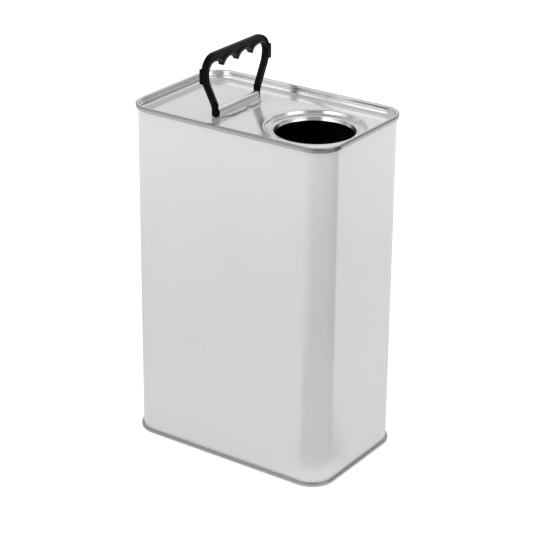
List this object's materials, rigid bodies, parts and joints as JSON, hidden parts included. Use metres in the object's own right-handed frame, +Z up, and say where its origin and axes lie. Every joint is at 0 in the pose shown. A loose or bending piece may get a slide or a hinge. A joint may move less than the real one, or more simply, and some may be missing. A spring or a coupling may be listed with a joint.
{
  "type": "rectangular tin can",
  "caption": "Tall rectangular tinplate can with double-seamed ends, a recessed round mouth and a folding moulded carry handle.",
  "frame": {"origin": "centre of the base seam's foot, on the surface that the can stands on", "axes": "+Z up the can to its mouth, +X along the long side toward the mouth's end, +Y toward the back face with the side weld"},
  "size_m": [0.1684, 0.1054, 0.296],
  "materials": {
    "white_lacquer": "satin white lacquer on 0.3 mm tinplate",
    "tinplate": "bare bright tinplate with faint rolling lines",
    "bracket_tinplate": "bare bright tinplate strap",
    "seam_compound": "matt lining compound, hidden inside the seams",
    "black_plastic": "black moulded polyolefin, slightly glossy"
  },
  "bodies": {
    "can": {"body_shell": "white_lacquer", "top_end": "tinplate", "base_end": "tinplate", "top_seam_compound": "seam_compound", "base_seam_compound": "seam_compound", "handle_bracket": "bracket_tinplate"},
    "handle": {"carry_handle": "black_plastic"}
  },
  "joints": [
    {"name": "handle_fold", "type": "hinge", "parent": "can", "child": "handle", "pos_m": [-0.026, 0, 0.2525], "axis": [0, 1, 0], "range_deg": [-89.5, 90.5]}
  ]
}
